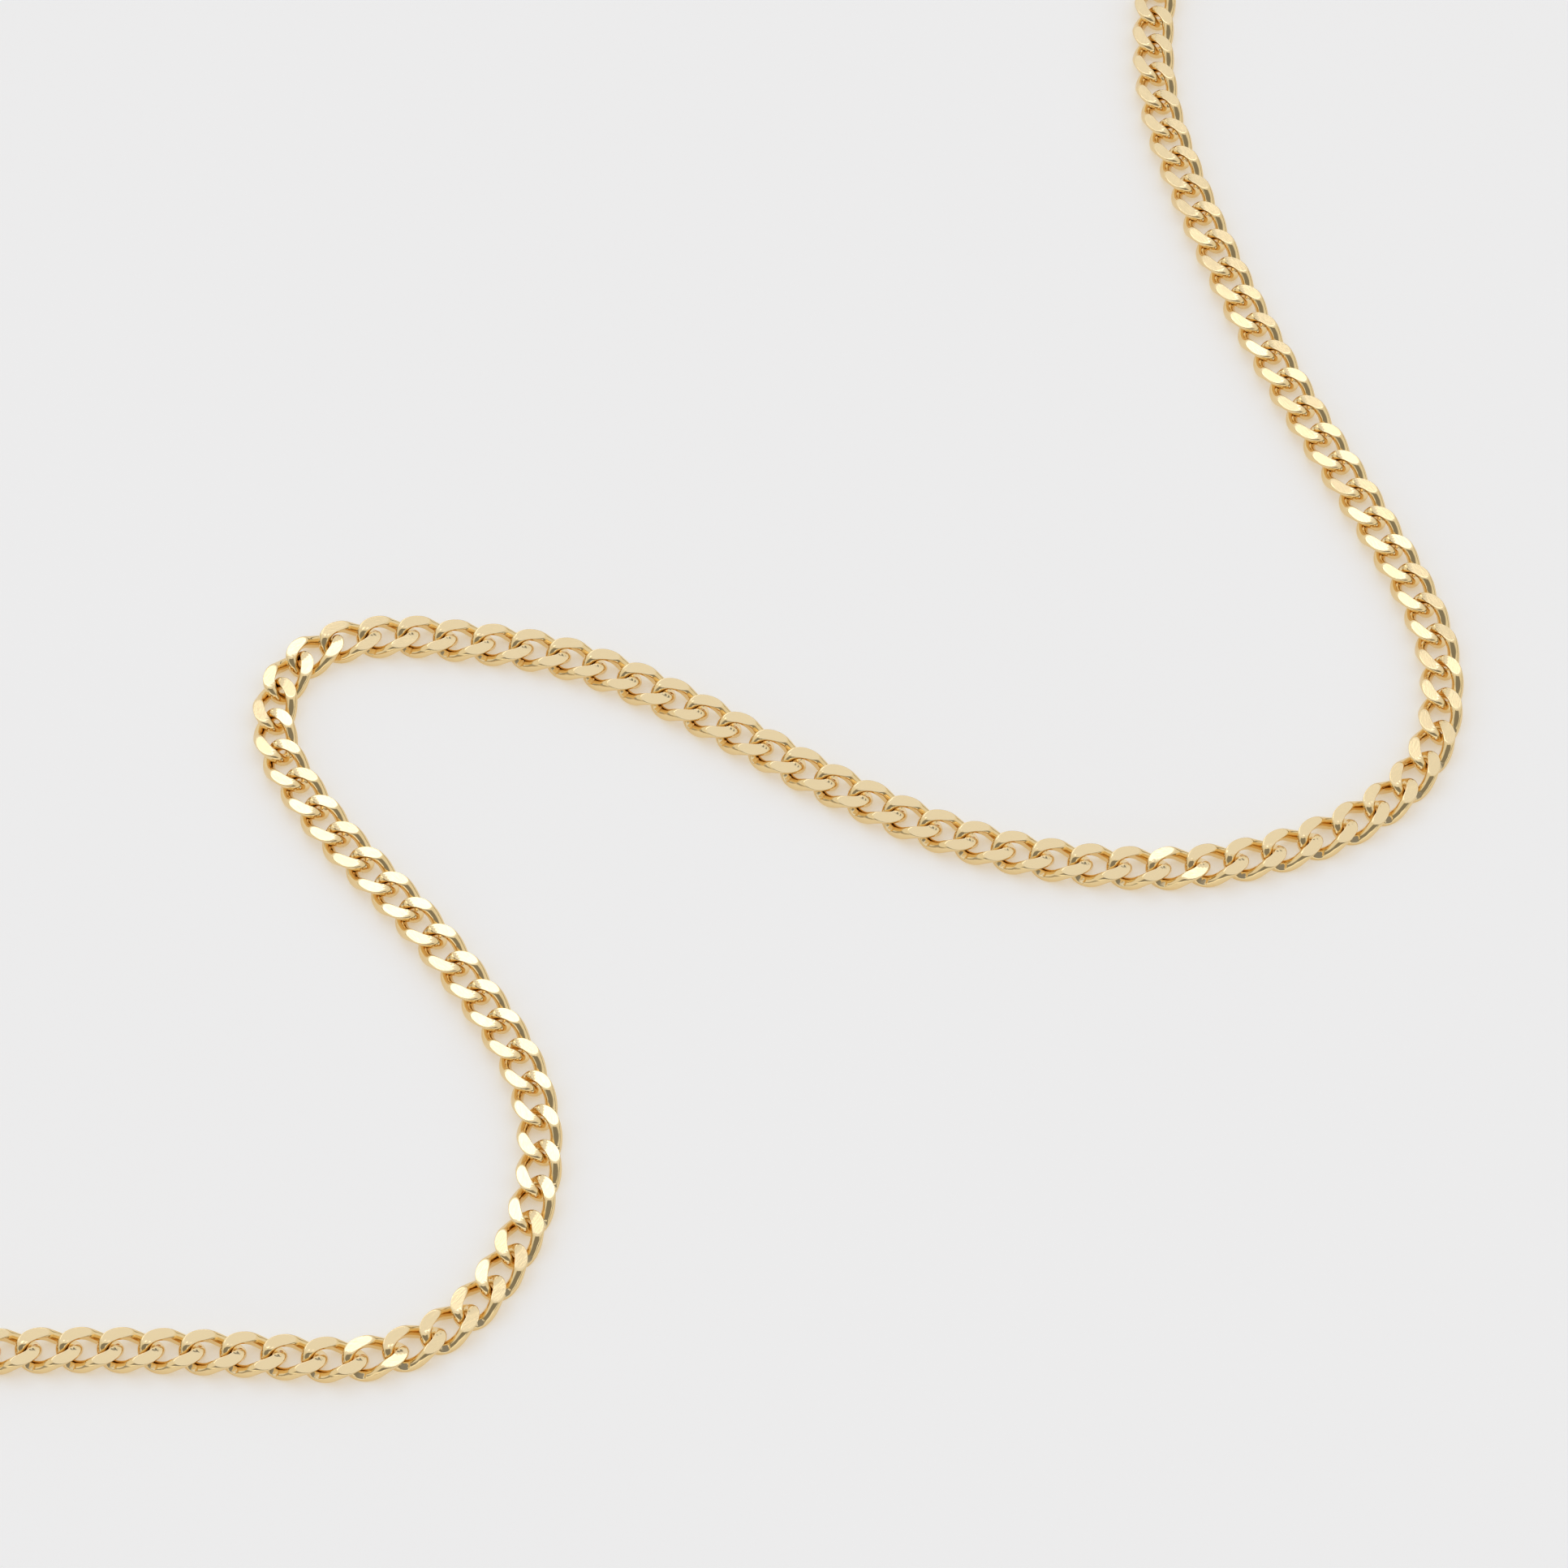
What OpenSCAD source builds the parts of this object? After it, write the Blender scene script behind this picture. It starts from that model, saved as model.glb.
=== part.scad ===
// Flat curb chain necklace with a lobster clasp, lying unfastened on a table.
// Each link is a twisted oval of round wire with its top and bottom ground flat.
// Origin: on the table, at the middle of the laid-out necklace. +Z is up.

/* [Chain] */
// Width of the chain, across a link
link_w = 3.0; // [2.95:0.01:3.1]
// Distance between the middles of neighbouring links
link_pitch = 2.6; // [2.58:0.01:2.64]
// Diameter of the link wire
wire_d = 0.8; // [0.74:0.01:0.81]
// Thickness of the chain over its ground flats
chain_t = 1.25; // [1.2:0.01:1.3]
// Gap between the wires of two links when the chain is pulled straight
link_play = 0.12; // [0.1:0.01:0.16]
// Twist of each end of a link out of the chain's plane
end_twist = 51; // [50:1:52]
// Slope of the wire at the middle of a link's side
side_slope = 40; // [39:1:42]

/* [Jump rings] */
// Diameter of the jump rings' wire
ring_wire_d = 0.6; // [0.54:0.01:0.66]
// Radius of a jump ring, to the middle of its wire
ring_r = 1.7; // [1.68:0.01:1.74]
// Tilt of the end links, whose outer ends are held up by the jump rings
end_lift = 8; // [7.5:0.5:8.5]

/* [Catch ring] */
// Diameter of the catch ring's wire
catch_wire_d = 0.7; // [0.66:0.01:0.74]
// Radius of the catch ring, to the middle of its wire
catch_r = 2.1; // [2.05:0.01:2.2]
// Tilt of the catch ring, whose near side lies on its jump ring
catch_tilt = 10; // [9.5:0.5:10.5]

/* [Clasp] */
// Thickness of the clasp at its middle
clasp_t = 2.4; // [2.35:0.01:2.45]
// Radius of the clasp's body, seen from above
boss_r = 2.5; // [2.48:0.01:2.52]
// Diameter of the wire of the clasp's eye
eye_wire_d = 0.8; // [0.76:0.01:0.84]
// Radius of the eye, to the middle of its wire
eye_r = 1.35; // [1.33:0.01:1.37]
// Inner radius of the hook
hook_in_r = 2.0; // [1.99:0.01:2.02]
// Width of the hook's bar
hook_w = 1.4; // [1.36:0.01:1.44]
// Thickness of the hook's bar
hook_t = 1.9; // [1.8:0.01:2.0]
// Thickness of the lever in its slot
lever_t = 1.0; // [0.96:0.01:1.02]
// Diameter of the rivet that the lever turns on
rivet_d = 0.6; // [0.58:0.01:0.62]

/* [Hidden] */
wire_r = wire_d / 2;
half_pitch = link_pitch / 2;
link_a = (link_pitch + wire_d + link_play) / 2;   // middle of a link to its end wire
link_b = link_w / 2 - wire_r;                     // middle of a link to its side wire
arc_share = 1.8;             // length of a link's end arcs against its side arcs
arc_seam = 0.004;            // every other arc is this much fatter, so that arcs merge
arc_overrun = 0.04;          // and runs on this far past its ends
run_links = 3;               // links in a length of chain that moves as a piece
wire_fn = 32;
arc_fn = 48;
round_fn = 64;

// The chain's route: [links, degrees that each link turns], out from the middle link.
mid_point = [-5.9, 11.5];
mid_heading = -31;
to_catch = [
    [3, -1], [4, 2], [6, 4], [5, 5.5], [2, 8], [3, 13], [3, 8.5], [2, 4], [4, 0.5],
    [10, -1], [1, -1.5], [4, -4.5], [3, -3], [10, -9], [8, -6], [8, -2],
];
to_clasp = [
    [2, 3], [3, 5.5], [2, 1], [2, 9], [3, 24], [2, 17.5], [3, 3.5], [1, 3], [6, -2],
    [7, -8.5], [1, -8], [4, -13.5], [1, -3.5], [7, 1], [4, 0], [10, 9], [8, 6], [7, 2],
];

function along(a) = [cos(a), sin(a)];
function unit(v) = v / norm(v);
function each_turn(runs) = [for (r = runs) for (i = [1:r[0]]) r[1]];
function reversed(list) = [for (i = [len(list) - 1:-1:0]) list[i]];

// Headings of the links from the middle one outward.
function headings_out(turns) =
    [for (i = 0, a = mid_heading; i <= len(turns); a = a + (i < len(turns) ? turns[i] : 0), i = i + 1) a];

// Middles of the same links: each link pivots where it touches the one before.
function points_out(ways, sign) =
    [for (i = 0, p = mid_point; i < len(ways);
          p = p + sign * half_pitch * (along(ways[i]) + along(ways[min(i + 1, len(ways) - 1)])),
          i = i + 1) p];

catch_ways = headings_out(each_turn(to_catch));
clasp_ways = headings_out(each_turn(to_clasp));
catch_points = points_out(catch_ways, 1);
clasp_points = points_out(clasp_ways, -1);
headings = concat(reversed(clasp_ways), [for (i = [1:len(catch_ways) - 1]) catch_ways[i]]);
points = concat(reversed(clasp_points), [for (i = [1:len(catch_points) - 1]) catch_points[i]]);
last_link = len(points) - 1;
runs = floor(len(points) / run_links);

// Point where an arc that leaves p along u meets one that arrives at q along v.
function arc_meeting(p, u, q, v) =
    let (
        c = q - p,
        w = v + arc_share * u,
        aa = w * w - (1 + arc_share) * (1 + arc_share),
        bb = -2 * (c * w),
        root = sqrt(bb * bb - 4 * aa * (c * c)),
        near = (-bb - root) / (2 * aa),
        reach = near > 0 ? near : (-bb + root) / (2 * aa)
    )
    (reach * (p + arc_share * reach * u) + arc_share * reach * (q - reach * v))
        / (reach + arc_share * reach);

// Round wire that leaves p along u and reaches q on one arc.
module wire_arc(p, u, q, fat) {
    chord = q - p;
    half_turn = acos((chord * u) / norm(chord));
    bend_r = norm(chord) / (2 * sin(half_turn));
    over = fat ? arc_overrun / bend_r * 180 / PI : 0;
    inward = unit(chord / norm(chord) - cos(half_turn) * u);
    side = cross(u, inward);
    multmatrix([
        [-inward[0], u[0], side[0], p[0] + bend_r * inward[0]],
        [-inward[1], u[1], side[1], p[1] + bend_r * inward[1]],
        [-inward[2], u[2], side[2], p[2] + bend_r * inward[2]],
    ])
        rotate([0, 0, -over])
            rotate_extrude(angle = 2 * (half_turn + over), $fn = arc_fn)
                translate([bend_r, 0])
                    circle(wire_r + (fat ? arc_seam : 0), $fn = wire_fn);
}

// A quarter of a link's wire: an end arc and a side arc, one of them the fatter.
module link_quarter(fat_end) {
    tip = [link_a, 0, 0];
    tip_way = [0, cos(end_twist), -sin(end_twist)];
    flank = [0, link_b, 0];
    flank_way = [-cos(side_slope), 0, sin(side_slope)];
    meeting = arc_meeting(tip, tip_way, flank, flank_way);
    wire_arc(tip, tip_way, meeting, fat_end);
    wire_arc(flank, -flank_way, meeting, !fat_end);
}

// One link about its own middle, along X, ground flat above and below.
module link() {
    intersection() {
        for (turn = [0, 180])
            rotate([turn, 0, 0]) {
                link_quarter(turn > 0);
                rotate([0, 180, 0]) link_quarter(turn == 0);
            }
        cube([2 * link_a + link_w, 2 * link_w, chain_t], center = true);
    }
}

// Frame of a link's inner pivot: on the table under it, +X towards the nearer end.
module at_pivot(i) {
    translate([points[i][0], points[i][1], 0])
        rotate([0, 0, headings[i] + (i < last_link / 2 ? 180 : 0)])
            translate([-half_pitch, 0, 0])
                children();
}

// The last two links at each end slope up to the jump ring. k counts from the end.
end_seat = 0.04;             // rise of a sloping link, whose inner end stays off the table

function link_tilt(k) = k == 0 ? end_lift : k == 1 ? end_lift / 2 : 0;
function pivot_z(k) =
    chain_t / 2 + (k < 2 ? end_seat : 0) + (k == 0 ? link_pitch * sin(link_tilt(1)) : 0);

module placed_link(i) {
    from_end = min(i, last_link - i);
    at_pivot(i)
        translate([0, 0, pivot_z(from_end)])
            rotate([0, -link_tilt(from_end), 0])
                translate([half_pitch, 0, 0])
                    link();
}

module chain_run(n) {
    color("gold")
        for (i = [0:run_links - 1])
            placed_link((n - 1) * run_links + i);
}

// Places at an end of the chain, in its frame. The end wire runs through the jump
// ring, which leans over, and what hangs on the ring crosses it beyond that wire.
end_wire_x = (half_pitch + link_a) * cos(end_lift);
ring_gap = 4;                // degrees left open where the ring's wire ends meet
ring_gap_at = 100;
ring_rest = 0.01;            // gap under a jump ring
clasp_ring_lean = 67;
clasp_ring_at = [end_wire_x + 0.54, 0.18];
clasp_eye_at = [end_wire_x + 0.92, -0.27];
catch_ring_lean = 49;
catch_jump_ring_at = [end_wire_x + 0.7, 0.37];
catch_wire_at = [end_wire_x + 0.76, -0.65];

module jump_ring(i, place, lean) {
    color("gold")
        at_pivot(i)
            translate([place[0], place[1], ring_r * sin(lean) + ring_wire_d / 2 + ring_rest])
                rotate([lean, 0, 0])
                    rotate([0, 0, ring_gap_at])
                        rotate_extrude(angle = 360 - ring_gap, $fn = round_fn)
                            translate([ring_r, 0])
                                circle(d = ring_wire_d, $fn = wire_fn);
}

catch_rest_z = catch_wire_d / 2 + 0.02;   // middle of the wire on the side that lies lowest
catch_near_z = catch_rest_z + 2 * catch_r * sin(catch_tilt);

module catch_ring() {
    color("gold")
        at_pivot(last_link)
            translate([catch_wire_at[0], catch_wire_at[1], catch_near_z])
                rotate([0, catch_tilt, 0])
                    translate([catch_r, 0, 0])
                        rotate_extrude($fn = round_fn)
                            translate([catch_r, 0])
                                circle(d = catch_wire_d, $fn = wire_fn);
}

// The clasp, about the middle of its eye, +X outward and lying flat.
boss_x = 3.9;                // middle of the body
crown_r = 5;                 // radius of the domed faces of the body
hook_x = 7.6;                // middle of the hook
hook_r = hook_in_r + hook_w / 2;
hook_start = 150;            // where the hook leaves the body, round its middle
hook_end = -76;
rivet_at = [4.4, -1.45];
heel_r = 0.8;                // lever's round end on the rivet
heel_gap = 0.1;
slot_gap = 0.06;             // between the lever and each cheek of its slot
slot_top = -0.42;
slot_size = 4;
mouth_gap = 0.05;            // between the body's edge and the hook's inner circle
rivet_l = 1.96;
rivet_gap = 0.06;            // between the rivet and the lever's bore
tip_reach = 4.65;            // rivet to the lever's tip
tip_gap = 0.1;               // between the tip and the end of the hook
lever_in_r = 2.12;           // the lever's arm follows the hook's circle
lever_out_r = 3.2;
arm_t = 1.5;
arm_from = -132;             // angles of the arm's root, its thick part and its tip
arm_thick_from = -118;
arm_to = -40;
neck = [[4.3, -2.2], [4.7, -0.75], [6.0, -1.5], [6.3, -2.6], [5.4, -3.3]];
thumb_at = [5.15, -3.2];     // thumb piece, at the lever's outer edge
thumb_r = 0.65;
thumb_t = 1.6;
tip_cut_at = [5.6, -5];      // corner and size of the cut that ends the hook
tip_cut = 4;
spring_at = [3.5, -0.35];
spring_r = 0.55;
spring_leaf = 0.14;
spring_h = 0.8;
spring_from = 20;            // angles that the bent leaf spans
spring_sweep = 220;

module at_clasp() {
    color("gold")
        at_pivot(0)
            translate([clasp_eye_at[0] + eye_r, clasp_eye_at[1], clasp_t / 2])
                children();
}

// Rounded bar about the hook's middle from one angle to another.
module hook_bar(from, to) {
    corner = hook_w / 2;
    translate([hook_x, 0, 0])
        rotate([0, 0, from])
            rotate_extrude(angle = to - from, $fn = round_fn)
                translate([hook_r, 0]) {
                    for (side = [-1, 1])
                        translate([0, side * (hook_t / 2 - corner)])
                            circle(corner, $fn = wire_fn);
                    square([hook_w, hook_t - hook_w], center = true);
                }
}

module clasp_boss() {
    intersection() {
        translate([boss_x, 0, 0])
            cylinder(h = clasp_t, r = boss_r, center = true, $fn = round_fn);
        translate([boss_x, 0, clasp_t / 2 - crown_r])
            sphere(crown_r, $fn = round_fn);
        translate([boss_x, 0, crown_r - clasp_t / 2])
            sphere(crown_r, $fn = round_fn);
    }
}

// Slot for the lever, open below and towards the hook, with a room for the spring.
module lever_slot() {
    slot_t = lever_t + 2 * slot_gap;
    translate([rivet_at[0], rivet_at[1], 0])
        cylinder(h = slot_t, r = heel_r + heel_gap, center = true, $fn = round_fn);
    translate([spring_at[0], spring_at[1], 0])
        cylinder(h = slot_t, r = spring_r, center = true, $fn = round_fn);
    translate([boss_x, slot_top - slot_size, -slot_t / 2])
        cube([slot_size, slot_size, slot_t]);
}

module clasp_body() {
    at_clasp()
        difference() {
            union() {
                rotate_extrude($fn = round_fn)
                    translate([eye_r, 0])
                        circle(d = eye_wire_d, $fn = wire_fn);
                difference() {
                    clasp_boss();
                    translate([hook_x, 0, 0])
                        cylinder(h = 2 * clasp_t, r = hook_in_r + mouth_gap, center = true, $fn = round_fn);
                }
                hook_bar(hook_end, hook_start);
            }
            lever_slot();
            translate([rivet_at[0], rivet_at[1], 0])
                cylinder(h = 2 * clasp_t, d = rivet_d, center = true, $fn = wire_fn);
            // The end of the hook is cut back to clear the lever's tip.
            intersection() {
                translate([rivet_at[0], rivet_at[1], 0])
                    cylinder(h = 2 * clasp_t, r = tip_reach + tip_gap, center = true, $fn = round_fn);
                translate([tip_cut_at[0], tip_cut_at[1], -clasp_t])
                    cube([tip_cut, tip_cut, 2 * clasp_t]);
            }
        }
}

// Flat sector of the lever's arm, round the hook's middle.
module arm_sector(from, to, t) {
    translate([hook_x, 0, 0])
        rotate([0, 0, from])
            rotate_extrude(angle = to - from, $fn = round_fn)
                translate([lever_in_r, -t / 2])
                    square([lever_out_r - lever_in_r, t]);
}

module clasp_lever() {
    at_clasp()
        difference() {
            union() {
                translate([rivet_at[0], rivet_at[1], 0])
                    cylinder(h = lever_t, r = heel_r, center = true, $fn = round_fn);
                linear_extrude(lever_t, center = true)
                    polygon(neck);
                translate([thumb_at[0], thumb_at[1], 0])
                    cylinder(h = thumb_t, r = thumb_r, center = true, $fn = round_fn);
                intersection() {
                    union() {
                        arm_sector(arm_from, arm_to, lever_t);
                        arm_sector(arm_thick_from, arm_to, arm_t);
                    }
                    translate([rivet_at[0], rivet_at[1], 0])
                        cylinder(h = clasp_t, r = tip_reach, center = true, $fn = round_fn);
                }
            }
            translate([rivet_at[0], rivet_at[1], 0])
                cylinder(h = clasp_t, d = rivet_d + 2 * rivet_gap, center = true, $fn = wire_fn);
        }
}

module clasp_rivet() {
    at_clasp()
        translate([rivet_at[0], rivet_at[1], 0])
            cylinder(h = rivet_l, d = rivet_d, center = true, $fn = wire_fn);
}

// Leaf spring behind the lever's heel.
module clasp_spring() {
    at_clasp()
        translate([spring_at[0], spring_at[1], 0])
            rotate([0, 0, spring_from])
                rotate_extrude(angle = spring_sweep, $fn = round_fn)
                    translate([spring_r - spring_leaf, -spring_h / 2])
                        square([spring_leaf, spring_h]);
}

function run_name(n) = str("chain_", n < 10 ? "0" : "", n);

for (n = [1:runs]) chain_run(n);
jump_ring(0, clasp_ring_at, clasp_ring_lean);  // clasp_jump_ring
clasp_body();
clasp_lever();
clasp_rivet();
clasp_spring();
jump_ring(last_link, catch_jump_ring_at, catch_ring_lean);  // end_jump_ring
catch_ring();
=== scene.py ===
"""Gold curb chain necklace with a lobster clasp, lying in curves on a pale table."""
import math

import bpy
import numpy as np
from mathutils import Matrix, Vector


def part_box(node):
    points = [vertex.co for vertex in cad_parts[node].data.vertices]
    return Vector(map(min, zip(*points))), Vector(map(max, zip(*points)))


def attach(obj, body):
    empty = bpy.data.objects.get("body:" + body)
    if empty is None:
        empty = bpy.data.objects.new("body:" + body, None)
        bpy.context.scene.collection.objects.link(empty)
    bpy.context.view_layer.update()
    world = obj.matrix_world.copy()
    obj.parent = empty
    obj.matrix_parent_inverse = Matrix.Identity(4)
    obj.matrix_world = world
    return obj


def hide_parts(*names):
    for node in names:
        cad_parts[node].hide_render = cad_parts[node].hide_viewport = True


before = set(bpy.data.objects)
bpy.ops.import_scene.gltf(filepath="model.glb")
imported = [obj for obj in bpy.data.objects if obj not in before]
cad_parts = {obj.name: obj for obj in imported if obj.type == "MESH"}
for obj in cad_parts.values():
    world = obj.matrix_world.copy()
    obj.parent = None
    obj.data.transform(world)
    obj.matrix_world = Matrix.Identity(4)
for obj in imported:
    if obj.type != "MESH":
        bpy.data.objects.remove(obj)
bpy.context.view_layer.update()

MM = 0.001
RUNS = [name for name in sorted(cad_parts) if name.startswith("chain_")]
LINKS_PER_RUN = 3

# The link's wire, in millimetres: the curve of part.scad, longer by 0.01 to each end and
# narrower by 0.01 to each side, in wire 0.02 thicker.
WIRE_R = 0.41
LINK_A = 1.77                # middle of a link to its end wire
LINK_B = 1.09                # middle of a link to its side wire
END_TWIST = math.radians(51)
SIDE_SLOPE = math.radians(40)
ARC_SHARE = 1.8              # length of a link's end arcs against its side arcs
ARC_POINTS = 14              # along each arc of the curve
ROUND_POINTS = 44            # around the wire
HALF_THICK = 0.625           # middle of a link to its flat underside
TOP_FACE = 0.58              # the top is ground a little further than the underside
WORN_EDGE = 0.012            # softness of the edges that grinding leaves

rng = np.random.default_rng(11)


# ---------------------------------------------------------------- node helpers
class Nodes:
    """Short calls for building a node tree."""

    def __init__(self, tree):
        self.tree = tree

    def add(self, kind, values=None, **settings):
        """A node of a kind, with its inputs linked or set by values."""
        node = self.tree.nodes.new(kind)
        for name, value in settings.items():
            setattr(node, name, value)
        for name, value in (values or {}).items():
            if isinstance(value, bpy.types.NodeSocket):
                self.tree.links.new(value, node.inputs[name])
            else:
                node.inputs[name].default_value = value
        return node

    def mix(self, first, second, factor):
        """Colour between first and second by factor."""
        node = self.add("ShaderNodeMix", data_type="RGBA", values={0: factor})
        for socket, value in ((6, first), (7, second)):
            if isinstance(value, bpy.types.NodeSocket):
                self.tree.links.new(value, node.inputs[socket])
            else:
                node.inputs[socket].default_value = value
        return node.outputs[2]

    def compute(self, operation, *values):
        """Result of one operation of the math node."""
        node = self.add("ShaderNodeMath", values=dict(enumerate(values)), operation=operation)
        return node.outputs[0]

    def fade(self, value, low, high):
        """Smooth rise from 0 at low to 1 at high, or a fall when high is the lesser."""
        node = self.add("ShaderNodeMapRange", interpolation_type="SMOOTHSTEP", values={
            "Value": value, "From Min": low, "From Max": high})
        return node.outputs[0]

    def span(self, value, low, high, to_low, to_high):
        """Even rise from to_low at low to to_high at high."""
        node = self.add("ShaderNodeMapRange", values={
            "Value": value, "From Min": low, "From Max": high,
            "To Min": to_low, "To Max": to_high})
        return node.outputs[0]


def new_material(name):
    """A material, its node helper and its shader."""
    material = bpy.data.materials.new(name)
    material.use_nodes = True
    nodes = Nodes(material.node_tree)
    return material, nodes, material.node_tree.nodes["Principled BSDF"]


# ---------------------------------------------------------------- materials
# Linear colours of the gold as drawn wire and where it is cut by grinding, and how rough each
# is, both from the low to the high of its marks. The wire's colours are darker and deeper than
# the cut flats', as painted shade on its sides and in the hollows of the links.
SHADED_WIRE_TONES = ((0.88, 0.66, 0.33, 1), (0.905, 0.69, 0.36, 1))
BRIGHT_CUT = ((0.93, 0.745, 0.445, 1), (0.95, 0.77, 0.475, 1))
POLISH_ROUGHNESS = (0.07, 0.13)
CUT_ROUGHNESS = (0.09, 0.2)
GRINDING_SCALE = (2.0, 16.0, 3.0)     # per millimetre, so the lines run along the link
DRAWING_SCALE = (3.0, 3.0, 3.0)
MARK_DEPTH = 0.00002                  # metres
NOISE_RANGE = (0.3, 0.7)              # where most of a noise texture's values lie

STEEL_TONE = (0.55, 0.55, 0.56, 1)
STEEL_ROUGHNESS = (0.22, 0.38)
STEEL_LINES = (900, 900, 6000)        # per metre, so the lines lie level

# The table top gives off a little warm light, in place of what the gold throws on it, and
# reflects the rest in a cooler tone, so that the open table is neutral.
TABLE_GLOW = (0.50, 0.36, 0.22)
TABLE_TONE = (0.481, 0.675, 0.879)
TABLE_MOTTLE = 0.01                   # share of its tone
TABLE_MOTTLE_SCALE = 18.0             # per metre


def gold_material(name, ground_attribute):
    """Polished gold plate: soft drawing marks on the wire, fine grinding lines on flats, and
    painted shade as a darker tone on the wire.
    """
    material, nodes, shader = new_material(name)
    place = nodes.add("ShaderNodeAttribute", attribute_name="local").outputs["Vector"]
    ground = 0.0
    if ground_attribute:
        ground = nodes.add("ShaderNodeAttribute", attribute_name="ground").outputs["Fac"]

    def lines(scale, detail):
        stretched = nodes.add("ShaderNodeMapping", values={"Vector": place, "Scale": scale})
        return nodes.add("ShaderNodeTexNoise", values={
            "Vector": stretched.outputs[0], "Scale": 1.0, "Detail": detail}).outputs["Fac"]

    grinding = lines(GRINDING_SCALE, detail=3.0)
    drawing = lines(DRAWING_SCALE, detail=2.0)
    # The wire's darker tones are painted shade on its sides and in the hollows of the links.
    shaded_wire = nodes.mix(*SHADED_WIRE_TONES, drawing)
    bright_cut = nodes.mix(*BRIGHT_CUT, grinding)
    tone = nodes.mix(shaded_wire, bright_cut, ground)
    nodes.tree.links.new(tone, shader.inputs["Base Color"])
    shader.inputs["Metallic"].default_value = 1.0
    polish = nodes.span(drawing, *NOISE_RANGE, *POLISH_ROUGHNESS)
    cut = nodes.span(grinding, *NOISE_RANGE, *CUT_ROUGHNESS)
    rough = nodes.add("ShaderNodeMix", data_type="FLOAT", values={0: ground, 2: polish, 3: cut})
    nodes.tree.links.new(rough.outputs[0], shader.inputs["Roughness"])
    marks = {0: ground, 2: drawing, 3: grinding}
    height = nodes.add("ShaderNodeMix", data_type="FLOAT", values=marks)
    bump = nodes.add("ShaderNodeBump", values={
        "Strength": 0.2, "Distance": MARK_DEPTH, "Height": height.outputs[0]})
    nodes.tree.links.new(bump.outputs[0], shader.inputs["Normal"])
    return material


def spring_material():
    """Brushed spring steel."""
    material, nodes, shader = new_material("spring_steel")
    place = nodes.add("ShaderNodeTexCoord").outputs["Object"]
    lines = nodes.add("ShaderNodeMapping", values={"Vector": place, "Scale": STEEL_LINES})
    marks = nodes.add("ShaderNodeTexNoise", values={"Vector": lines.outputs[0], "Scale": 1.0})
    shader.inputs["Base Color"].default_value = STEEL_TONE
    shader.inputs["Metallic"].default_value = 1.0
    rough = nodes.span(marks.outputs["Fac"], *NOISE_RANGE, *STEEL_ROUGHNESS)
    nodes.tree.links.new(rough, shader.inputs["Roughness"])
    return material


def table_material():
    """Matt pale table top with a faint warm glow and a very faint mottling."""
    material, nodes, shader = new_material("table_top")
    place = nodes.add("ShaderNodeTexCoord").outputs["Object"]
    mottle = nodes.add("ShaderNodeTexNoise", values={
        "Vector": place, "Scale": TABLE_MOTTLE_SCALE, "Detail": 4.0}).outputs["Fac"]
    darker = [(1 - TABLE_MOTTLE) * channel for channel in TABLE_TONE] + [1]
    lighter = [(1 + TABLE_MOTTLE) * channel for channel in TABLE_TONE] + [1]
    nodes.tree.links.new(nodes.mix(darker, lighter, mottle), shader.inputs["Base Color"])
    shader.inputs["Emission Color"].default_value = (*TABLE_GLOW, 1)
    shader.inputs["Emission Strength"].default_value = 1.0
    shader.inputs["Roughness"].default_value = 0.75
    shader.inputs["Specular IOR Level"].default_value = 0.0
    return material


# ---------------------------------------------------------------- one link
def arc(start, way, end, count):
    """Points of the circular arc that leaves start along way and reaches end."""
    chord = end - start
    length = np.linalg.norm(chord)
    half_turn = math.acos(chord @ way / length)
    radius = length / (2 * math.sin(half_turn))
    inward = chord / length - math.cos(half_turn) * way
    inward /= np.linalg.norm(inward)
    turn = np.linspace(0, 2 * half_turn, count)[:, None]
    return start + radius * (inward * (1 - np.cos(turn)) + way * np.sin(turn))


def arc_meeting(start, leave, end, arrive):
    """Point where an arc leaving start meets one that arrives at end."""
    chord = end - start
    both = arrive + ARC_SHARE * leave
    square = both @ both - (1 + ARC_SHARE) ** 2
    linear = -2 * (chord @ both)
    root = math.sqrt(linear * linear - 4 * square * (chord @ chord))
    reach = (-linear - root) / (2 * square)
    if reach < 0:
        reach = (-linear + root) / (2 * square)
    far = ARC_SHARE * reach
    return (reach * (start + far * leave) + far * (end - reach * arrive)) / (reach + far)


def link_centreline():
    """The closed middle line of a link's wire, in millimetres."""
    tip = np.array([LINK_A, 0, 0])
    tip_way = np.array([0, math.cos(END_TWIST), -math.sin(END_TWIST)])
    flank = np.array([0, LINK_B, 0])
    flank_way = np.array([-math.cos(SIDE_SLOPE), 0, math.sin(SIDE_SLOPE)])
    meeting = arc_meeting(tip, tip_way, flank, flank_way)
    end_arc = arc(tip, tip_way, meeting, ARC_POINTS)[:-1]
    side_arc = arc(flank, -flank_way, meeting, ARC_POINTS)[1:][::-1]
    quarter = np.vstack([end_arc, side_arc, flank[None]])
    about_x = np.diag([1, -1, -1])
    about_y = np.diag([-1, 1, -1])
    return np.vstack([
        quarter[:-1],
        (quarter @ about_y)[::-1][:-1],
        (quarter @ about_x @ about_y)[:-1],
        (quarter @ about_x)[::-1][:-1],
    ])


CENTRELINE = link_centreline()


def swept_wire():
    """The round wire along the centreline, sections by points around, and its way at each."""
    ways = np.roll(CENTRELINE, -1, 0) - np.roll(CENTRELINE, 1, 0)
    ways /= np.linalg.norm(ways, axis=1)[:, None]
    side = np.cross(ways, [0, 0, 1])
    side /= np.linalg.norm(side, axis=1)[:, None]
    up = np.cross(side, ways)
    turn = np.linspace(0, 2 * math.pi, ROUND_POINTS, endpoint=False)[None, :, None]
    outward = np.cos(turn) * side[:, None] + np.sin(turn) * up[:, None]
    return CENTRELINE[:, None] + WIRE_R * outward, ways


WIRE, WIRE_WAYS = swept_wire()


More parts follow.
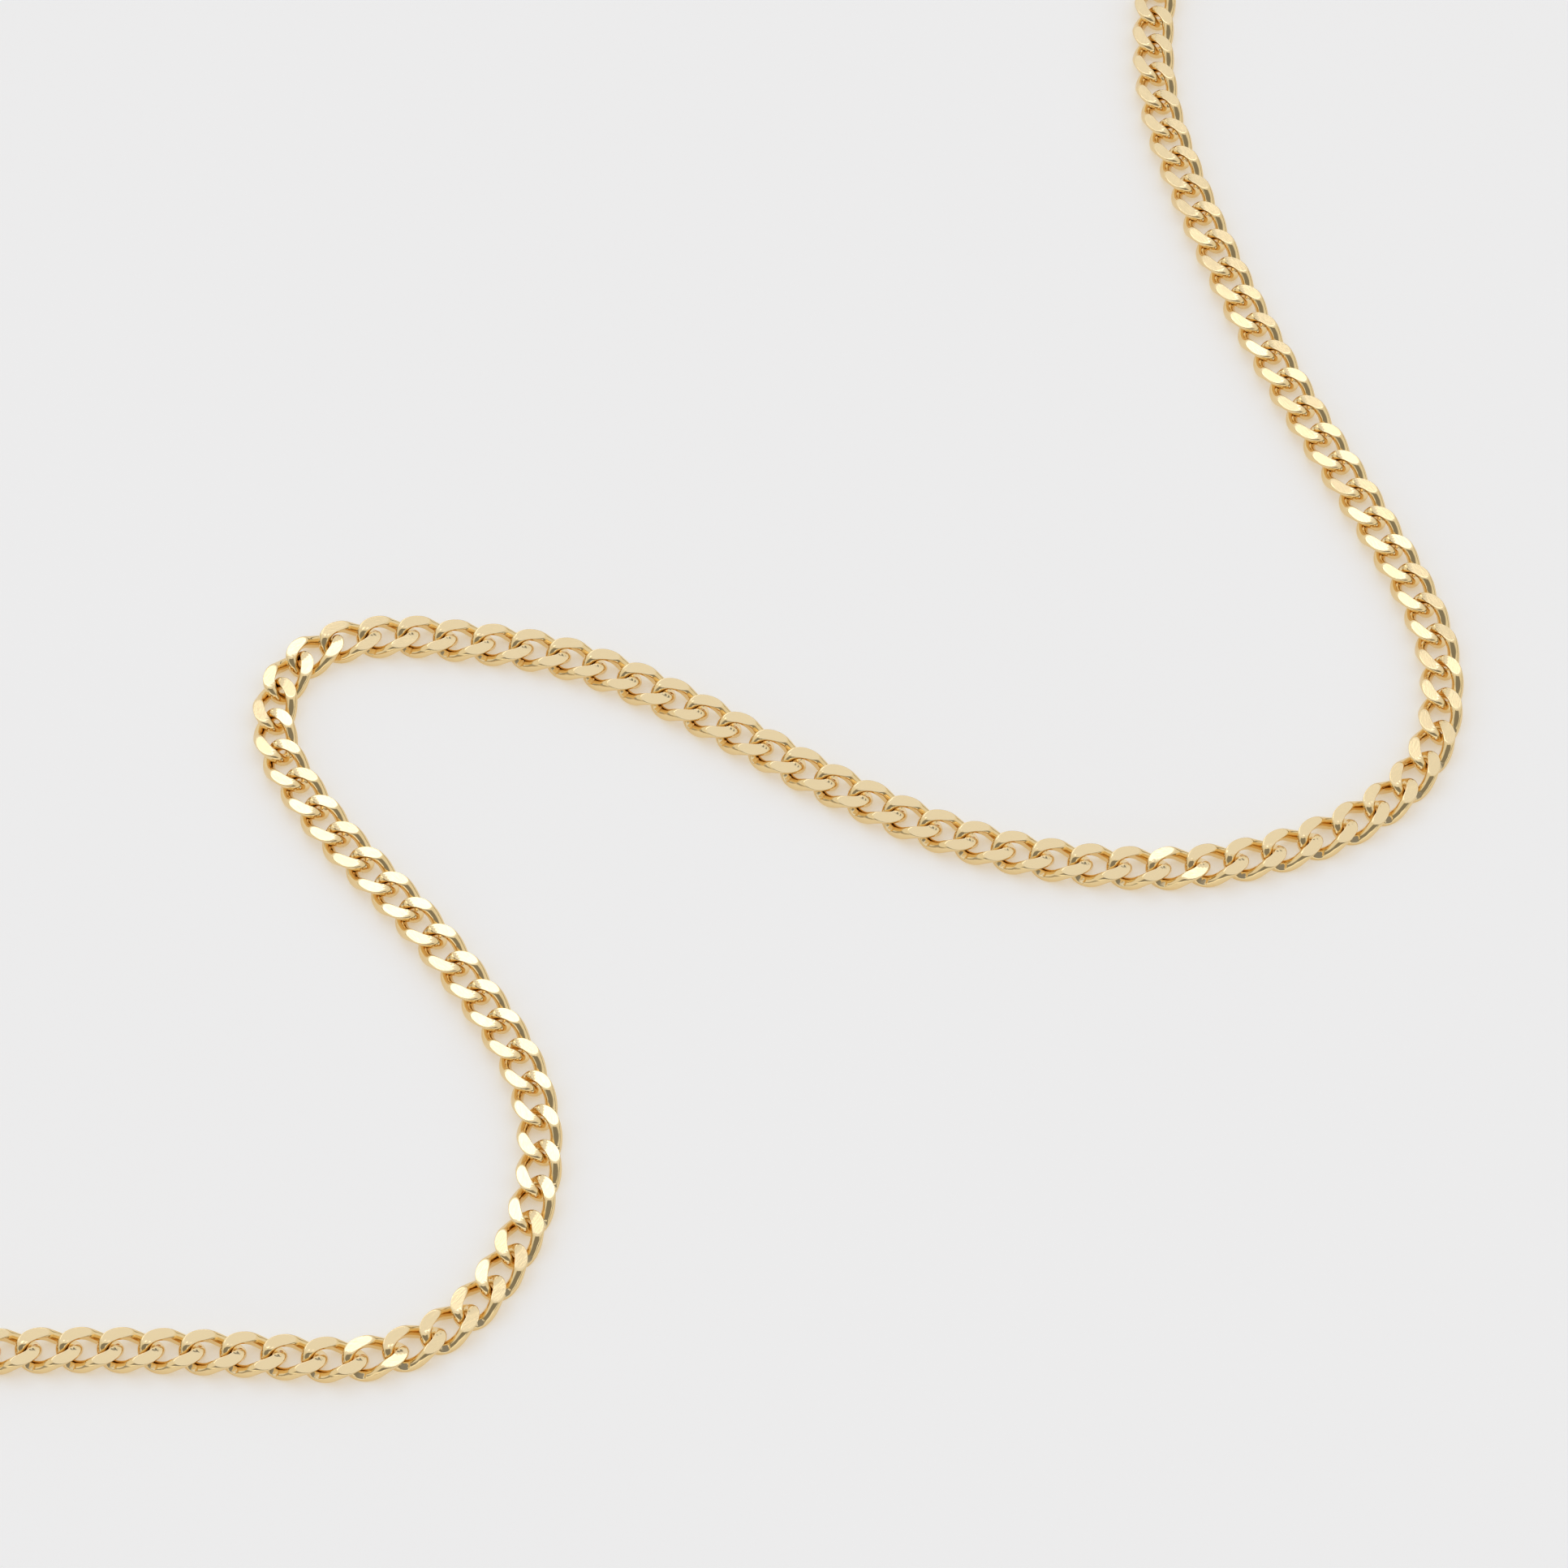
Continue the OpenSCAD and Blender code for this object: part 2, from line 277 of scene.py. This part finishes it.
def grid_quads(sections, around):
    """Quads of a closed tube whose points are numbered section by section."""
    section, point = np.meshgrid(np.arange(sections), np.arange(around), indexing="ij")
    ahead = (section + 1) % sections
    beside = (point + 1) % around
    corners = [first * around + second for first, second in (
        (section, point), (section, beside), (ahead, beside), (ahead, point))]
    return np.stack([corner.reshape(-1) for corner in corners], 1)


QUADS = grid_quads(*WIRE.shape[:2])


def soft_step(value, low, high):
    """0 below low, 1 above high, smooth between."""
    share = np.clip((value - low) / (high - low), 0, 1)
    return share * share * (3 - 2 * share)


def grind(points, depth, normal):
    """Moves points that stand proud of a surface back onto it, leaving a worn edge."""
    push = WORN_EDGE * np.logaddexp(0, depth / WORN_EDGE)
    worn = 1 / (1 + np.exp(-depth / (0.5 * WORN_EDGE)))
    return points - push[..., None] * normal, worn


# The ground faces, in millimetres and degrees. Each link has two on top, one to each side,
# that both slope down towards +X. A face is at TOP_FACE where the wire on its side is
# highest: behind the link's middle on one side, and ahead of it on the other.
FACET_PITCH = 6.5
FACET_SPREAD = 0.6           # how far each face's own pitch and roll vary
FACE_SPREAD = 0.01           # and its own height
FACET_X = 0.95               # the link's middle to where the wire on a side is highest
FACET_Y = 0.8                # and how far out to that side
ROW_BLEND = 0.25             # width beside the middle line in which a face rises to CREST
CREST = 1.0                  # clear of the wire
CLEAR = 9.0                  # its height beyond that line, where the other face is
# Links that lie a little tipped and catch the window: link number, extra pitch, roll.
TIPPED = {38: (-2.1, -6.6), 63: (-1.2, -1.7), 87: (-7.4, -5.4)}

# Small flats left where links were pressed shut: place on the wire, the way it faces, its
# depth and its reach (millimetres).
SMALL_FLATS = [
    ((-1.5, 0.6), (-0.45, 0.1, 1.0), 0.07, 0.22),
    ((-1.0, -0.95), (-0.3, -0.5, 0.9), 0.07, 0.25),
]
FLAT_DEPTHS = (0.7, 1.2)     # least and most of that depth from link to link
FLAT_FADE = 0.3              # width over which a flat ends past its reach
FLAT_HOLD = 3.0              # how far its surface stands off past that, clear of the wire


def small_flat(points, place, lean, depth, reach):
    """A small flat on the wire near place, facing lean as far as the wire allows."""
    offset = CENTRELINE[:, :2] - place
    nearest = int(np.argmin(np.hypot(offset[:, 0], offset[:, 1])))
    way = WIRE_WAYS[nearest]
    normal = np.array(lean, float)
    normal -= (normal @ way) * way
    normal /= np.linalg.norm(normal)
    beyond = (points - CENTRELINE[nearest]) @ normal - (WIRE_R - depth)
    away = np.linalg.norm(points - CENTRELINE[nearest] - normal * WIRE_R, axis=-1)
    held = FLAT_HOLD * soft_step(away, reach, reach + FLAT_FADE)
    return grind(points, beyond - held, normal)


def ground_link(number):
    """One link's points about its own middle, +X along the chain, and where it is ground."""
    points = WIRE.copy()
    extra_pitch, roll_by = TIPPED.get(number, (0.0, 0.0))
    ground = np.zeros(points.shape[:2])
    up = np.array([0.0, 0.0, 1.0])
    for side in (1, -1):
        pitch = math.tan(math.radians(FACET_PITCH + extra_pitch + rng.normal(0, FACET_SPREAD)))
        roll = math.tan(math.radians(roll_by + rng.normal(0, FACET_SPREAD)))
        row = soft_step(points[..., 1] * side, 0.0, ROW_BLEND)
        face = TOP_FACE + rng.normal(0, FACE_SPREAD)
        face = face - pitch * (points[..., 0] + side * FACET_X)
        face = face + roll * (points[..., 1] - side * FACET_Y)
        height = np.where(row > 0, row * face + (1 - row) * CREST, CLEAR)
        points, worn = grind(points, points[..., 2] - height, up)
        ground = np.maximum(ground, worn)
    for place, lean, depth, reach in SMALL_FLATS:
        own_depth = depth * rng.uniform(*FLAT_DEPTHS)
        points, worn = small_flat(points, place, lean, own_depth, reach)
        ground = np.maximum(ground, worn)
    points, worn = grind(points, -HALF_THICK - points[..., 2], -up)
    points[..., 2] = np.maximum(points[..., 2], -HALF_THICK)
    ground = np.maximum(ground, worn)
    return points, ground


# ---------------------------------------------------------------- links in place
WELD_GRID = 2e-7             # metres within which two corners are one
MARKS_APART = 50             # millimetres over which the links' marks are scattered


def welded_parts(mesh):
    """The separate solids of a CAD mesh, as arrays of triangles by corners."""
    points = np.empty(len(mesh.vertices) * 3)
    mesh.vertices.foreach_get("co", points)
    points = points.reshape(-1, 3)
    mesh.calc_loop_triangles()
    corners = np.empty(len(mesh.loop_triangles) * 3, np.int64)
    mesh.loop_triangles.foreach_get("vertices", corners)
    corners = corners.reshape(-1, 3)
    cells = np.round(points / WELD_GRID).astype(np.int64)
    same = np.unique(cells, axis=0, return_inverse=True)[1]
    welded = same.reshape(-1)[corners]
    label = np.arange(welded.max() + 1)
    while True:
        low = label[welded].min(1)
        new = label.copy()
        for corner in range(3):
            np.minimum.at(new, welded[:, corner], low)
        new = new[new]
        if (new == label).all():
            break
        label = new
    owner = label[welded[:, 0]]
    return [points[corners[owner == solid]] for solid in np.unique(owner)]


def link_frame(triangles, forward):
    """Turn and middle that put a link's own frame where this CAD link lies."""
    edges = triangles[:, 1:] - triangles[:, :1]
    area = np.linalg.norm(np.cross(edges[:, 0], edges[:, 1]), axis=1)
    middles = triangles.mean(1)
    centre = (area[:, None] * middles).sum(0) / area.sum()
    offset = middles - centre
    spread = (area[:, None, None] * offset[:, :, None] * offset[:, None, :]).sum(0)
    axes = np.linalg.eigh(spread)[1]
    along, up = axes[:, 2], axes[:, 0]
    along = along * (1 if along @ forward > 0 else -1)
    up = up * (1 if up[2] > 0 else -1)
    turn = np.column_stack([along, np.cross(up, along), up])
    return turn, centre


def place_runs(material):
    """One piece per CAD run: its links, each with its own ground faces."""
    middles = [sum(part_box(name), Vector()) / 2 for name in RUNS]
    for index, name in enumerate(RUNS):
        ahead = middles[min(index + 1, len(RUNS) - 1)]
        behind = middles[max(index - 1, 0)]
        forward = np.array(ahead - behind)
        parts = welded_parts(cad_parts[name].data)
        parts.sort(key=lambda part: float(part.reshape(-1, 3).mean(0) @ forward))
        points, quads, local, ground = [], [], [], []
        for order, triangles in enumerate(parts):
            shape, worn = ground_link(index * LINKS_PER_RUN + order)
            turn, centre = link_frame(triangles, forward)
            quads.append(QUADS + order * WIRE[..., 0].size)
            points.append(centre + MM * shape.reshape(-1, 3) @ turn.T)
            local.append(shape.reshape(-1, 3) + rng.uniform(0, MARKS_APART, 3))
            ground.append(worn.reshape(-1))
        mesh = mesh_from(name + "_links", np.vstack(points), np.vstack(quads))
        places = mesh.attributes.new("local", "FLOAT_VECTOR", "POINT")
        places.data.foreach_set("vector", np.vstack(local).reshape(-1))
        flats = mesh.attributes.new("ground", "FLOAT", "POINT")
        flats.data.foreach_set("value", np.concatenate(ground))
        mesh.materials.append(material)
        piece = bpy.data.objects.new(name + "_links", mesh)
        bpy.context.scene.collection.objects.link(piece)
        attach(piece, name)
        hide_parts(name)


def mesh_from(name, points, quads):
    """A smooth-shaded mesh of quads."""
    mesh = bpy.data.meshes.new(name)
    mesh.vertices.add(len(points))
    mesh.vertices.foreach_set("co", points.reshape(-1))
    mesh.loops.add(quads.size)
    mesh.loops.foreach_set("vertex_index", quads.reshape(-1))
    mesh.polygons.add(len(quads))
    mesh.polygons.foreach_set("loop_start", np.arange(0, quads.size, 4))
    mesh.update(calc_edges=True)
    mesh.shade_smooth()
    return mesh


# ---------------------------------------------------------------- clasp and rings
CAST_NODES = {               # each cast node and the body it rides on
    "clasp_body": "clasp",
    "clasp_lever": "clasp_lever",
    "clasp_rivet": "clasp",
    "clasp_jump_ring": "clasp_jump_ring",
    "end_jump_ring": "end_jump_ring",
    "catch_ring": "catch_ring",
}
CAST_VOXEL = 0.00005         # metres
CAST_PASSES = 4              # of smoothing, which rounds the edges


def cast_piece(node, body, material):
    """A CAD node's shape with cast, rounded edges."""
    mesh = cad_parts[node].data.copy()
    piece = bpy.data.objects.new(node + "_cast", mesh)
    bpy.context.scene.collection.objects.link(piece)
    mesh.materials.clear()
    remesh = piece.modifiers.new("remesh", "REMESH")
    remesh.mode = "VOXEL"
    remesh.voxel_size = CAST_VOXEL
    smooth = piece.modifiers.new("smooth", "SMOOTH")
    smooth.iterations = CAST_PASSES
    smooth.factor = 0.5
    bpy.context.view_layer.update()
    shaped = piece.evaluated_get(bpy.context.evaluated_depsgraph_get())
    made = bpy.data.meshes.new_from_object(shaped)
    piece.modifiers.clear()
    piece.data = made
    made.shade_smooth()
    made.materials.clear()
    made.materials.append(material)
    corners = np.array([vertex.co for vertex in made.vertices])
    places = made.attributes.new("local", "FLOAT_VECTOR", "POINT")
    places.data.foreach_set("vector", corners.reshape(-1) / MM)
    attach(piece, body)
    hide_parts(node)


# ---------------------------------------------------------------- table, light, camera
TABLE_HALF = 6.0             # metres

CAMERA_LENS = 158.4          # millimetres
CAMERA_SENSOR = 36           # millimetres
CAMERA_ELEVATION = math.radians(57)
CAMERA_DISTANCE = 0.462      # metres, from the point it is aimed at
AIM_OFFSET = (7.1, -6.0)     # millimetres, from the middle run of links to that point


def add_table():
    """The table top, a plain square under the necklace."""
    mesh = bpy.data.meshes.new("table")
    corners = [(x * TABLE_HALF, y * TABLE_HALF, 0) for x, y in ((-1, -1), (1, -1), (1, 1), (-1, 1))]
    mesh.from_pydata(corners, [], [(0, 1, 2, 3)])
    mesh.materials.append(table_material())
    table = bpy.data.objects.new("table", mesh)
    bpy.context.scene.collection.objects.link(table)


# Brighter and darker parts of the room: azimuth from +Y clockwise, half its width, the
# elevations between which it lies, how softly it ends above and below (four times that
# to the sides), all in degrees, and its radiance against the room's own.
ROOM_PARTS = [
    (-22, 30, 43.3, 49.5, 2.5, 2.7),  # wide window high in the north-west
    (75, 72, 3, 9, 3, 0.08),          # dark wall low in the north and east
    (-100, 36, 2, 12, 4, 0.4),        # darker wall low in the west
    (180, 58, 20, 74, 6, 0.3),        # camera, its stand and the dim room behind
    (180, 58, 8, 16, 4, 1.4),         # lit wall behind the camera
]
ROOM_RADIANCE = 0.84
ROOM_COLOUR = (1.0, 1.0, 0.995, 1)


def add_room():
    """The room's light, as a world whose radiance depends on direction alone."""
    world = bpy.data.worlds.new("room")
    world.use_nodes = True
    nodes = Nodes(world.node_tree)
    way = nodes.add("ShaderNodeTexCoord").outputs["Generated"]
    parts = nodes.add("ShaderNodeSeparateXYZ", values={"Vector": way}).outputs
    azimuth = nodes.compute("ARCTAN2", parts["X"], parts["Y"])
    elevation = nodes.compute("ARCSINE", parts["Z"])
    total = ROOM_RADIANCE

    def fade_over(value, outer, inner):
        return nodes.fade(value, math.radians(outer), math.radians(inner))

    for middle_azimuth, half, lowest, highest, soft, share in ROOM_PARTS:
        off = nodes.compute("SUBTRACT", azimuth, math.radians(middle_azimuth))
        off = nodes.compute("ABSOLUTE", nodes.compute("WRAP", off, math.pi, -math.pi))
        across = fade_over(off, half + 2 * soft, half - 2 * soft)
        above = fade_over(elevation, lowest - soft / 2, lowest + soft / 2)
        below = fade_over(elevation, highest + soft / 2, highest - soft / 2)
        inside = nodes.compute("MULTIPLY", nodes.compute("MULTIPLY", across, above), below)
        total = nodes.compute("MULTIPLY", total, nodes.span(inside, 0, 1, 1, share))
    background = world.node_tree.nodes["Background"]
    background.inputs["Color"].default_value = ROOM_COLOUR
    world.node_tree.links.new(total, background.inputs["Strength"])
    bpy.context.scene.world = world


def add_camera():
    """The photo's camera, south of the necklace and looking down at it."""
    middle_run = RUNS[len(RUNS) // 2 - 1]
    middle = sum(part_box(middle_run), Vector()) / 2
    aim = Vector((middle.x + AIM_OFFSET[0] * MM, middle.y + AIM_OFFSET[1] * MM, 0))
    toward = Vector((0, -math.cos(CAMERA_ELEVATION), math.sin(CAMERA_ELEVATION)))
    data = bpy.data.cameras.new("camera")
    data.lens = CAMERA_LENS
    data.sensor_width = CAMERA_SENSOR
    data.clip_start = 0.01
    data.clip_end = 50
    camera = bpy.data.objects.new("camera", data)
    bpy.context.scene.collection.objects.link(camera)
    camera.location = aim + CAMERA_DISTANCE * toward
    camera.rotation_euler = (math.pi / 2 - CAMERA_ELEVATION, 0, 0)
    bpy.context.scene.camera = camera


# ---------------------------------------------------------------- the whole scene
gold_links = gold_material("gold_chain", True)
gold_cast = gold_material("gold_cast", False)
place_runs(gold_links)
for node, body in CAST_NODES.items():
    cast_piece(node, body, gold_cast)

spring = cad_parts["clasp_spring"]
spring.data.materials.clear()
spring.data.materials.append(spring_material())

add_table()
add_room()
add_camera()
bpy.context.scene.view_settings.view_transform = "Standard"
